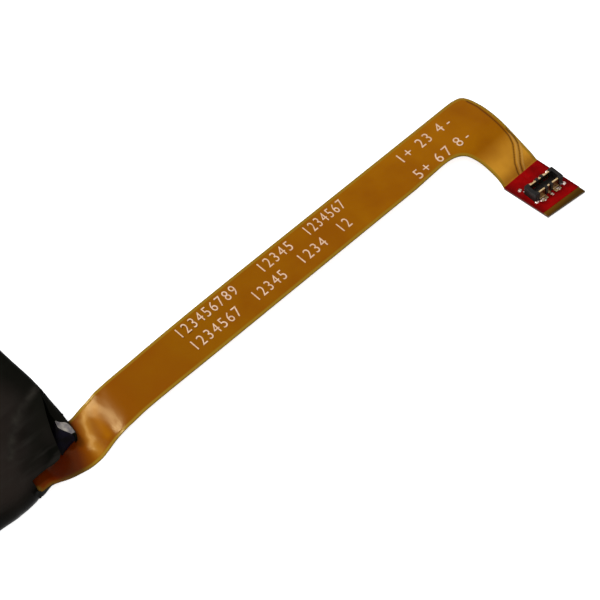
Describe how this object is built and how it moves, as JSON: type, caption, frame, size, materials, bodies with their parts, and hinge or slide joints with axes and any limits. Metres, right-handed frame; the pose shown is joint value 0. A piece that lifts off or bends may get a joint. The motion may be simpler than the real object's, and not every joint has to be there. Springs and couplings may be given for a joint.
{
  "type": "mobile phone battery",
  "caption": "Flat pouch-cell phone battery in black film, with an amber L-shaped connector flex leaving one corner and a small board-to-board plug at its stiffened end.",
  "frame": {"origin": "centre of the battery's flat back face, between its sides and its two ends", "axes": "+Z out of the front face, +Y along the battery towards the terminal end and the flex, +X across towards the side that the flex leaves"},
  "size_m": [0.067, 0.1473, 0.0037],
  "materials": {
    "pouch_foil": "satin laminated foil",
    "black_film": "matte film",
    "black_tape": "satin tape with soft creases",
    "tab_aluminium": "bright strip",
    "tab_nickel": "rolled nickel strip",
    "tab_sealant": "milky sealing film",
    "yellow_insulator": "amber insulating film",
    "board_green": "green solder resist",
    "chip_black": "moulded epoxy",
    "capacitor_tan": "fired ceramic",
    "foam_grey": "closed-cell foam",
    "solder": "bright solder",
    "polyimide": "amber coverlay over copper",
    "mask_red": "red solder mask",
    "stiffener": "amber laminate",
    "connector_black": "moulded liquid-crystal polymer",
    "contact_gold": "gold flash on copper alloy",
    "hold_down_metal": "tinned strap"
  },
  "bodies": {
    "root": {"pouch_cell": "pouch_foil", "body_film": "black_film", "end_wrap": "black_tape", "positive_tab": "tab_aluminium", "negative_tab": "tab_nickel", "positive_tab_sealant": "tab_sealant", "negative_tab_sealant": "tab_sealant", "positive_nickel_plate": "tab_nickel", "negative_nickel_plate": "tab_nickel", "terrace_insulator": "yellow_insulator", "protection_board": "board_green", "mosfets": "chip_black", "protection_ic": "chip_black", "fuse": "chip_black", "sense_resistor": "chip_black", "chip_resistors": "chip_black", "chip_capacitors": "capacitor_tan", "thermistor": "chip_black", "id_resistor": "chip_black", "foam_pad": "foam_grey", "flex_circuit": "polyimide", "flex_solder": "solder", "red_mask": "mask_red", "stiffener": "stiffener", "connector_housing": "connector_black", "power_contact_1": "contact_gold", "power_contact_2": "contact_gold", "power_contact_3": "contact_gold", "power_contact_4": "contact_gold", "signal_contact_1": "contact_gold", "signal_contact_2": "contact_gold", "hold_downs": "hold_down_metal", "connector_solder": "solder"}
  },
  "joints": []
}
